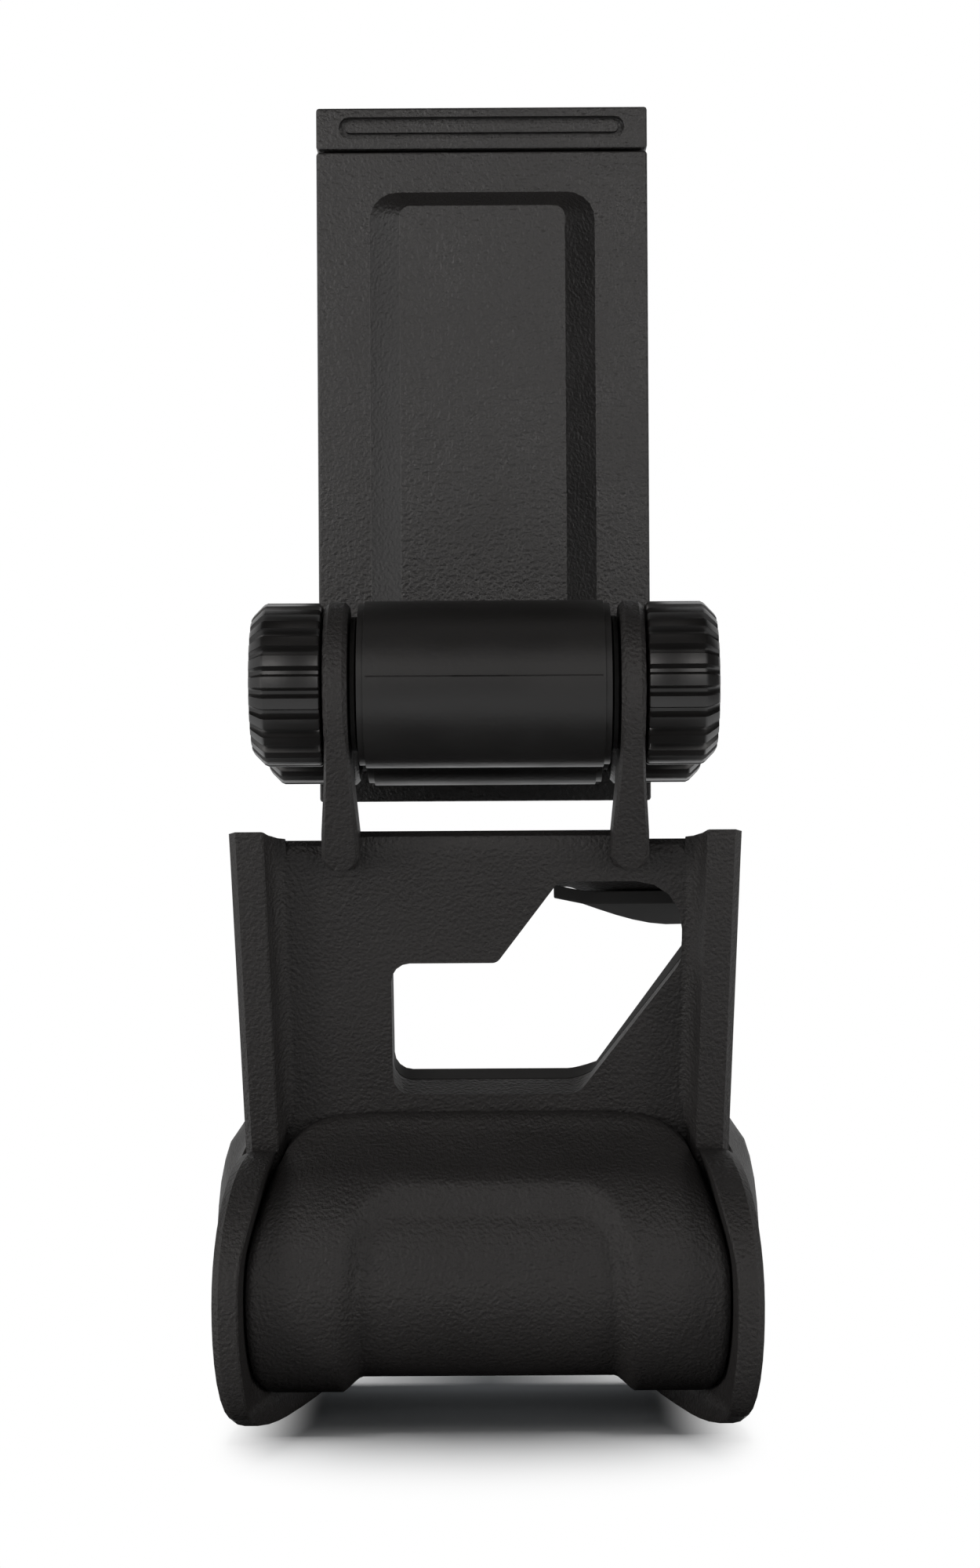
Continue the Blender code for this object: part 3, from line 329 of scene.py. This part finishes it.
def moulded(name, dark, light, rough, pit_scale, depth, specular, offset=0.0):
    """A plastic or rubber: two near shades in clouds, and the spark grain as fine relief."""
    look = bpy.data.materials.new(name)
    look.use_nodes = True
    tree = look.node_tree
    shader = tree.nodes["Principled BSDF"]
    shader.inputs["Specular IOR Level"].default_value = specular
    texture = tree.nodes.new("ShaderNodeGroup")
    texture.node_tree = grain
    texture.inputs["Pit Scale"].default_value = pit_scale
    texture.inputs["Offset"].default_value = offset
    shade = tree.nodes.new("ShaderNodeMix")
    shade.data_type = "RGBA"
    shade.inputs["A"].default_value = (*dark, 1)
    shade.inputs["B"].default_value = (*light, 1)
    gloss = tree.nodes.new("ShaderNodeMapRange")
    gloss.inputs["From Min"].default_value = cloud_low
    gloss.inputs["From Max"].default_value = cloud_high
    gloss.inputs["To Min"].default_value = rough[0]
    gloss.inputs["To Max"].default_value = rough[1]
    relief = tree.nodes.new("ShaderNodeBump")
    relief.inputs["Strength"].default_value = 1.0
    relief.inputs["Distance"].default_value = depth * MM
    tree.links.new(texture.outputs["Cloud"], shade.inputs["Factor"])
    tree.links.new(texture.outputs["Cloud"], gloss.inputs["Value"])
    tree.links.new(shade.outputs["Result"], shader.inputs["Base Color"])
    tree.links.new(gloss.outputs["Result"], shader.inputs["Roughness"])
    tree.links.new(texture.outputs["Height"], relief.inputs["Height"])
    tree.links.new(relief.outputs["Normal"], shader.inputs["Normal"])
    return look


def plated(name, colour, rough, scale):
    """Zinc-plated steel: a metal whose gloss varies in fine streaks."""
    look = bpy.data.materials.new(name)
    look.use_nodes = True
    tree = look.node_tree
    shader = tree.nodes["Principled BSDF"]
    shader.inputs["Base Color"].default_value = (*colour, 1)
    shader.inputs["Metallic"].default_value = 1
    where = tree.nodes.new("ShaderNodeTexCoord")
    streaks = tree.nodes.new("ShaderNodeTexNoise")
    streaks.inputs["Scale"].default_value = scale
    gloss = tree.nodes.new("ShaderNodeMapRange")
    gloss.inputs["To Min"].default_value = rough[0]
    gloss.inputs["To Max"].default_value = rough[1]
    tree.links.new(where.outputs["Object"], streaks.inputs["Vector"])
    tree.links.new(streaks.outputs["Fac"], gloss.inputs["Value"])
    tree.links.new(gloss.outputs["Result"], shader.inputs["Roughness"])
    return look


satin_dark, satin_light = (0.0060, 0.0056, 0.0055), (0.009, 0.0084, 0.0082)
clamp_plastic = moulded("clamp_matt_plastic", (0.012, 0.0112, 0.011), (0.017, 0.0158, 0.0155),
                        rough=(0.40, 0.50), pit_scale=2300, depth=0.12, specular=0.5)
saddle_plastic = moulded("saddle_matt_plastic", (0.0112, 0.0104, 0.0102), (0.0155, 0.0144, 0.0141),
                         rough=(0.54, 0.66), pit_scale=2500, depth=0.18, specular=0.27, offset=7.0)
barrel_plastic = moulded("barrel_satin_plastic", satin_dark, satin_light,
                         rough=(0.40, 0.52), pit_scale=1500, depth=0.016, specular=0.38, offset=3.0)
knob_plastic = moulded("knob_satin_plastic", satin_dark, satin_light,
                       rough=(0.28, 0.40), pit_scale=1800, depth=0.006, specular=0.45, offset=5.0)
rubber = moulded("soft_rubber", (0.014, 0.0135, 0.0132), (0.021, 0.020, 0.0195),
                 rough=(0.75, 0.9), pit_scale=2400, depth=0.012, specular=0.3, offset=9.0)
fibre = moulded("washer_fibre", (0.008, 0.0078, 0.0075), (0.012, 0.0115, 0.011),
                rough=(0.7, 0.85), pit_scale=2600, depth=0.02, specular=0.2, offset=2.0)
steel = plated("zinc_steel", (0.36, 0.36, 0.37), (0.30, 0.46), 900)
print("materials", [m.name for m in bpy.data.materials])

# %% [markdown]
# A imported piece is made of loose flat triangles, which shade like a cut stone. To soften one, a copy of
# it is merged, its flat runs of triangles are joined into whole faces, and the sharp edges get a small
# rounding from a Bevel modifier. Real mouldings have no razor edges, and it is this rounding that
# catches the thin light lines in the photograph. Weighted normals keep the large faces flat. Two shapes
# are also corrected in the copy: the cut-out's slanting wall, and the inner ends of the pads under the
# hook.

# %% Softened copies
lean = radians(19)
hinge_y = -25.45
plate_back_y, plate_top_z, plate_thickness = 0.8, 66.5, 3
window_low, window_high, window_right = 36, 53.5, 21.9
slant, slant_left, slant_foot = 0.75, 9.5, (10.425, 36.2)
wall_turn = 1.75
merge_within, flat_within = 0.002 * MM, radians(0.6)
bevel_segments, bevel_above = 3, radians(34)
pad_end, pad_end_wanted = 9, 7.75


def clamped(t):
    return min(max(t, 0.0), 1.0)


def eased(t):
    """Ease from 0 to 1, and stay there outside."""
    t = clamped(t)
    return t * t * (3 - 2 * t)


def plate_front(z):
    """Place in y of the leaning plate's front at a height, both in mm."""
    return plate_back_y + plate_thickness / cos(lean) + hinge_y + (plate_top_z - z) * tan(lean)


def show(piece, node, look):
    """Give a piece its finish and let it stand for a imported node, on that node's body."""
    piece.data.materials.clear()
    piece.data.materials.append(look)
    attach(piece, nodes[node]["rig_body"])
    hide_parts(node)
    return piece


def straighten_cutout(bm):
    """Turn the cut-out's slanting wall back from its front edge, until the camera sees none of it."""
    for vert in bm.verts:
        x, y, z = vert.co / MM
        depth = (y - plate_front(z)) * cos(lean)
        height = z - depth * sin(lean)
        slant_x = slant_foot[0] + (height - slant_foot[1]) * slant
        behind_edge = 0.5 < depth < 8 and window_low < height < window_high
        if behind_edge and abs(x - slant_x) < 0.9 and slant_left < x < window_right + 0.05:
            share = clamped((height - slant_foot[1]) / 1.5)
            moved_x = x + wall_turn * depth * sin(lean) * slant * share
            vert.co.x = min(moved_x, window_right + 0.5) * MM


def stretch_pad(bm):
    """The pad under a lobe reaches to the corner of the cut-out."""
    for vert in bm.verts:
        if abs(abs(vert.co.x) - pad_end * MM) < 0.05 * MM:
            vert.co.x *= pad_end_wanted / pad_end


def softened(node, look, edge):
    """Stand in for a node with a merged copy whose sharp edges are rounded by edge, in mm."""
    bm = bmesh.new()
    bm.from_mesh(nodes[node].data)
    bmesh.ops.remove_doubles(bm, verts=bm.verts, dist=merge_within)
    if node in ("saddle_frame", "port_pad"):
        straighten_cutout(bm)
    if node in ("hook_pad_left", "hook_pad_right"):
        stretch_pad(bm)
    bmesh.ops.dissolve_limit(bm, angle_limit=flat_within, verts=bm.verts, edges=bm.edges)
    for face in bm.faces:
        face.smooth = True
    mesh = bpy.data.meshes.new(node + "_soft")
    bm.to_mesh(mesh)
    bm.free()
    piece = bpy.data.objects.new(node + "_soft", mesh)
    bpy.context.scene.collection.objects.link(piece)
    round_off = piece.modifiers.new("rounding", "BEVEL")
    round_off.width = edge * MM
    round_off.segments = bevel_segments
    round_off.limit_method = "ANGLE"
    round_off.angle_limit = bevel_above
    round_off.use_clamp_overlap = True
    round_off.harden_normals = True
    even = piece.modifiers.new("even", "WEIGHTED_NORMAL")
    even.keep_sharp = True
    return show(piece, node, look)


print("cut-out", window_high - window_low, "mm high; edges over", round(bevel_above, 2), "rad are rounded")

# %% [markdown]
# One table gives each piece its material, its slot and the width of its rounding in mm. The two springs
# stretch with the jaw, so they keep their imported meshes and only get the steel.

# %% Finishes
finishes = {
    "saddle_frame": (saddle_plastic, "matte_black", 0.4),
    "port_pad": (rubber, "rubber", 0.3),
    "cradle_pad": (rubber, "rubber", 0.2),
    "hook_pad_left": (rubber, "rubber", 0.2),
    "hook_pad_right": (rubber, "rubber", 0.2),
    "link_arm": (barrel_plastic, "satin_black", 0.2),
    "front_bolt": (steel, "steel", 0.25),
    "rear_bolt": (steel, "steel", 0.25),
    "front_nut": (steel, "steel", 0.25),
    "rear_nut": (steel, "steel", 0.25),
    "clamp_cover": (clamp_plastic, "matte_black", 0.6),
    "clamp_housing": (clamp_plastic, "matte_black", 0.3),
    "back_pad": (rubber, "rubber", 0.3),
    "lower_jaw_pad": (rubber, "rubber", 0.12),
    "upper_jaw_pad": (rubber, "rubber", 0.12),
    "upper_jaw": (clamp_plastic, "matte_black", 0.4),
}
for washer in ("front_washer_left", "front_washer_right", "rear_washer_left", "rear_washer_right"):
    finishes[washer] = (fibre, "washer", 0.06)
for number in range(1, 5):
    finishes["cover_screw_%d" % number] = (steel, "steel", 0.15)
for node, (look, slot, edge) in finishes.items():
    softened(node, look, edge)
for node in ("spring_left", "spring_right"):
    spring = nodes[node]
    spring.data.materials.clear()
    spring.data.materials.append(steel)
print("softened", len(finishes), "pieces")

# %% [markdown]
# Behind the cut-out hangs the hook's right lobe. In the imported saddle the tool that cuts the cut-out goes
# too deep and leaves a hole through this lobe, which the photograph doesn't show. Here the hole is
# filled by a loft: one section of the hook at each place across. It ends inside the solid part of the
# lobe, and its faces lie a little inside the hook's, so that no two surfaces share a place.

# %% Hook lobe
lobe_start, lobe_end, lobe_sections = 7.3, 21.4, 28
inside_by = 0.03
hook_slope, hook_thickness = radians(17), 2.7
hook_tip_y, hook_tip_z = 2.55, 56.1
notch_x, notch_y = 1.5, -14.85
fill_root, fill_least, fill_most = -15, -8.9, -6.0


def hook_under(y):
    """Height of the hook's underside, in mm, a little inside it."""
    return hook_tip_z + (hook_tip_y - y) * tan(hook_slope) + inside_by


def lobe_section(x):
    """Outline of the filling at one place across: root, rounded free edge, root."""
    reach = notch_y + (hook_tip_y - notch_y) * eased((x - notch_x) / (window_right - notch_x))
    edge = min(max(reach, fill_least), fill_most)
    low, slab = hook_under(edge), hook_thickness - 2 * inside_by
    return [(x, fill_root, hook_under(fill_root)), (x, edge - 0.4, hook_under(edge - 0.4)),
            (x, edge, low + 0.4), (x, edge, low + slab - 0.6),
            (x, edge - 0.5, hook_under(edge - 0.5) + slab),
            (x, fill_root, hook_under(fill_root) + slab)]


def skinned(name, sections):
    """A closed skin through a row of sections, given in mm."""
    bm = bmesh.new()
    rows = [[bm.verts.new(Vector(point) * MM) for point in section] for section in sections]
    for near, far in zip(rows, rows[1:]):
        for i in range(len(near)):
            j = (i + 1) % len(near)
            bm.faces.new((near[i], near[j], far[j], far[i]))
    bm.faces.new(rows[0])
    bm.faces.new(rows[-1])
    bmesh.ops.recalc_face_normals(bm, faces=bm.faces)
    for face in bm.faces:
        face.smooth = True
    mesh = bpy.data.meshes.new(name)
    bm.to_mesh(mesh)
    bm.free()
    mesh.set_sharp_from_angle(angle=radians(40))
    piece = bpy.data.objects.new(name, mesh)
    bpy.context.scene.collection.objects.link(piece)
    return piece


lobe = skinned("hook_lobe", [lobe_section(lobe_start + (lobe_end - lobe_start) * i / lobe_sections)
                             for i in range(lobe_sections + 1)])
show(lobe, "saddle_frame", saddle_plastic)
print("lobe", len(lobe.data.polygons), "faces")

# %% [markdown]
# The hump cover is the smoothest form on the clip, and its panel recess has walls that turn its upper
# corners in one soft curve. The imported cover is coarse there. It could be subdivided, but that would
# round its edges too. So it is drawn afresh from a few rules: the radius of the hump about the rims'
# centre, the angle at which it meets the plate, and the depth of the recess. Its half width is read from
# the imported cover.

# %% Hump form
rim_y, rim_z = -12.950, 15.0
hump_radius, hump_wall = 12.0, 2.6
hump_last = radians(262)
crown_height, crown_from, crown_over = 4.8, radians(165), radians(82)
arch_height, arch_from, arch_over = 5.4, radians(110), radians(36)
plate_gap = 0.32
recess_depth, recess_wall = 1.70, 2.1
recess_top, recess_radius = radians(119), 15
recess_half, recess_flare, flare_from, flare_over = 15.2, 1.2, radians(118), radians(72)
recess_corner, corner_stretch = 5.4, 0.62


def hump_reach(angle, share, inward=0.0):
    """Radius of the hump about the rims' centre, in mm; share is the place across it."""
    crown = crown_height * min(max((crown_from - angle) / crown_over, 0.0), 1.1) ** 1.3
    rise = arch_height * clamped((arch_from - angle) / arch_over) ** 2
    return hump_radius - inward + rise + crown * (1 - share ** 8)


def hump_top(share, inward=0.0):
    """The angle at which the hump runs into the plate, found by halving."""
    low, high = radians(50), radians(120)
    for _ in range(30):
        middle = (low + high) / 2
        reach = hump_reach(middle, share, inward)
        if rim_y + reach * cos(middle) > plate_front(rim_z + reach * sin(middle)) - plate_gap:
            low = middle
        else:
            high = middle
    return high


def recess(angle, x):
    """Depth of the panel recess: full inside, none outside, with elliptic upper corners."""
    down = (angle - recess_top) * recess_radius * corner_stretch
    across = recess_half + recess_flare * eased((angle - flare_from) / flare_over) - abs(x)
    a, b = recess_corner - across, recess_corner - down
    inside = recess_corner - hypot(a, b) if a > 0 and b > 0 else min(across, down)
    t = inside / recess_wall
    return recess_depth * (0.35 * eased(t) + 0.65 * clamped(t))


packed = [v.co / MM for v in nodes["hump_cover"].data.vertices]
sides = sorted((atan2(v.z - rim_z, v.y - rim_y) % (2 * pi), v.x) for v in packed
               if v.x > 20 and hypot(v.y - rim_y, v.z - rim_z) > hump_radius - 1.0)
edge_rows = []
for angle, x in sides:
    if not edge_rows or angle - edge_rows[-1][0][0] > radians(4):
        edge_rows.append([])
    edge_rows[-1].append((angle, x))
edge_line = [max(row, key=lambda item: item[1]) for row in edge_rows]


def hump_side(angle):
    """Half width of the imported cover's outer edge at an angle, in mm."""
    for (a, x), (b, far_x) in zip(edge_line, edge_line[1:]):
        if a <= angle <= b:
            return x + (far_x - x) * (angle - a) / (b - a)
    return edge_line[0][1] if angle < edge_line[0][0] else edge_line[-1][1]


print("half width read at", len(edge_line), "heights")

# %% [markdown]
# The rules are now sampled in a grid: rows of equal angle, columns across, once for the outside and once
# for the inside. Where the cover meets the plate its edge steps down to a lip, and its side edges are
# rounded, because these edges catch the light.

# %% Hump cover
rows, columns = 90, 110
lip_radius, lip_depth, lip_chamfer = 16, 0.65, 0.7
edge_width, edge_drop = 0.5, 0.35


def averaged(values, i, reach=3):
    near = values[max(i - reach, 0):i + reach + 1]
    return sum(near) / len(near)


def lip(along, share):
    """How far the upper edge steps down, in mm, at a way along from the plate."""
    step = eased((along - 0.4) / 1.5) * (1 - eased((along - 2.0) / 8)) * (1 - share ** 4)
    return -lip_depth * step - lip_chamfer * max(0, 0.5 - along)


def side_drop(from_side):
    """How far the side edge is rounded down, in mm."""
    end = from_side / edge_width
    return edge_drop * (1 - sqrt(1 - (1 - min(end, 1.0)) ** 2))


def hump_point(x, angle, reach):
    return (x, rim_y + reach * cos(angle), rim_z + reach * sin(angle))


first = hump_top(1)
read_halves = [hump_side(first + (hump_last - first) * i / rows) for i in range(rows + 1)]
halves = [averaged(read_halves, i) for i in range(rows + 1)]
hump_sections = []
for i, half in enumerate(halves):
    outer, inner = [], []
    for j in range(columns + 1):
        share = 2 * j / columns - 1
        x = share * half
        start = hump_top(share)
        angle = start + (hump_last - start) * i / rows
        reach = hump_reach(angle, share) - recess(angle, x) + lip((angle - start) * lip_radius, share)
        outer.append(hump_point(x, angle, reach - side_drop(half - abs(x))))
        start = hump_top(share, hump_wall)
        angle = start + (hump_last - start) * i / rows
        inner.append(hump_point(x, angle, hump_reach(angle, share, hump_wall)))
    hump_sections.append(outer + inner[::-1])
hump = skinned("hump_cover_fine", hump_sections)
show(hump, "hump_cover", saddle_plastic)
print("hump cover", len(hump.data.polygons), "faces, half width", [round(h, 2) for h in halves[::18]])

# %% [markdown]
# A knob is a ribbed drum with a chamfer round its outer edge and a six-sided pocket that traps the bolt
# head or the nut. It could be a cylinder with ribs stuck on, but a moulded knob is one skin. So it is
# drawn as rings about the hinge line: each ring has a place along the line and a rule that gives its
# radius at every angle. Each ring is extruded into the next, and the last is bridged to the first.

# %% Knobs
knob_ribs = 24
rib_depth = 0.8 * MM
groove_floor, groove_wall = 0.26, 0.24
points_per_rib = 12
bolt_hole, inner_face = 2.35 * MM, 6.2 * MM
chamfer, pocket_depth, pocket_half = 1.5 * MM, 4.2 * MM, 3.8 * MM


def ribbed(radius, depth):
    """Radius by angle for flat-topped ribs with grooves between them, whose walls are eased."""
    def reach(angle):
        from_groove = abs((angle * knob_ribs / (2 * pi)) % 1 - 0.5) * 2
        return radius - depth * (1 - eased((from_groove - groove_floor) / groove_wall))
    return reach


def circle(radius):
    return lambda angle: radius


def hexagon(half):
    """Radius by angle for a hexagon of a given half width across its flats."""
    return lambda angle: half / cos((angle + pi / 6) % (pi / 3) - pi / 6)


def ring_form(name, rings, centre, side, count):
    """A closed skin through rings about a line along X; side is -1 for the piece on the left."""
    bm = bmesh.new()
    bmesh.ops.create_circle(bm, segments=count, radius=1)
    bmesh.ops.rotate(bm, cent=(0, 0, 0), matrix=Matrix.Rotation(radians(90), 3, "Y"), verts=bm.verts)
    loop = bm.edges[:]
    first = loop
    for i, (x, reach) in enumerate(rings):
        if i:
            grown = bmesh.ops.extrude_edge_only(bm, edges=loop)["geom"]
            loop = [part for part in grown if isinstance(part, bmesh.types.BMEdge)]
        for vert in {v for edge in loop for v in edge.verts}:
            angle = atan2(vert.co.z, vert.co.y)
            radius = reach(angle)
            vert.co = (side * x, radius * cos(angle), radius * sin(angle))
    bmesh.ops.bridge_loops(bm, edges=first + loop)
    bmesh.ops.translate(bm, vec=centre, verts=bm.verts)
    bmesh.ops.recalc_face_normals(bm, faces=bm.faces)
    for face in bm.faces:
        face.smooth = True
    mesh = bpy.data.meshes.new(name)
    bm.to_mesh(mesh)
    bm.free()
    mesh.set_sharp_from_angle(angle=radians(38))
    piece = bpy.data.objects.new(name, mesh)
    bpy.context.scene.collection.objects.link(piece)
    return piece


def knob(node):
    """Draw a knob in the place of a packed one, from its box."""
    low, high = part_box(node)
    centre = Vector((0, (low.y + high.y) / 2, (low.z + high.z) / 2))
    side = 1 if high.x > 0 else -1
    inner, outer = min(abs(low.x), abs(high.x)), max(abs(low.x), abs(high.x))
    radius = (high.z - low.z) / 2
    pocket = outer - pocket_depth
    inner_end = [(inner, circle(bolt_hole)), (inner, circle(inner_face)),
                 (inner, ribbed(radius - 0.35 * MM, rib_depth)),
                 (inner + 0.12 * MM, ribbed(radius - 0.1 * MM, rib_depth))]
    drum = [(inner + 0.35 * MM, ribbed(radius, rib_depth)),
            (outer - chamfer - 0.25 * MM, ribbed(radius, rib_depth)),
            (outer - chamfer + 0.15 * MM, ribbed(radius - 0.18 * MM, rib_depth))]
    outer_end = [(outer - 0.3 * MM, ribbed(radius - chamfer + 0.25 * MM, rib_depth * 0.8)),
                 (outer - 0.06 * MM, ribbed(radius - chamfer - 0.1 * MM, rib_depth * 0.6)),
                 (outer, circle(radius - chamfer - 0.9 * MM))]
    pocket_walls = [(outer, hexagon(pocket_half + 0.25 * MM)), (outer - 0.3 * MM, hexagon(pocket_half)),
                    (pocket, hexagon(pocket_half)), (pocket, circle(bolt_hole))]
    rings = inner_end + drum + outer_end + pocket_walls
    piece = ring_form(node + "_ribbed", rings, centre, side, knob_ribs * points_per_rib)
    return show(piece, node, knob_plastic)


for node in ("front_knob_left", "front_knob_right", "rear_knob_left", "rear_knob_right"):
    made_knob = knob(node)
    print(made_knob.name, len(made_knob.data.polygons), "faces")

# %% [markdown]
# The link's front barrel keeps the mark of its mould: a fine ridge along the parting line, with a short
# scar of flash in the middle. The ridge is a three-cornered sliver along X, higher where the scar is.

# %% Parting line
hinge_z, barrel_radius = 82.5, 9.1
line_angle = radians(176.5)
ridge_half, ridge_steps, ridge_width = 12.6, 126, radians(0.9)
ridge_height, scar_height, scar_from, scar_to = 0.03, 0.05, -3.4, 2.6
sunk_by = 0.08


def ridge_section(x):
    """The sliver's three corners at one place along the barrel; waves make the scar uneven."""
    scar = scar_height * (1 + sin(9 * x) * sin(23 * x)) if scar_from < x < scar_to else 0
    foot = barrel_radius - sunk_by
    points = []
    for turn, reach in ((-ridge_width, foot), (0, barrel_radius + (ridge_height + scar)),
                        (ridge_width, foot)):
        angle = line_angle + turn
        points.append((x, hinge_y + reach * cos(angle), hinge_z + reach * sin(angle)))
    return points


ridge = skinned("parting_line", [ridge_section(-ridge_half + 2 * ridge_half * i / ridge_steps)
                                 for i in range(ridge_steps + 1)])
show(ridge, "link_arm", barrel_plastic)
print("parting line", len(ridge.data.polygons), "faces")

# %% [markdown]
# Two low lamps pick out the saddle's fillets and the walls of its recess from both sides. They light the
# saddle alone, because the clamp's right slopes are dark in the photograph.

# %% Saddle lamps
saddle_only = bpy.data.collections.new("saddle_only")
for name in ("saddle_frame_soft", "hump_cover_fine", "hook_lobe"):
    saddle_only.objects.link(bpy.data.objects[name])
for name, place, power in (("low_left", (-330, -190, 40), 0.66), ("low_right", (330, -190, 40), 0.58)):
    soft_lamp(name, place, (0, 0, 30), (70, 160), power).light_linking.receiver_collection = saddle_only
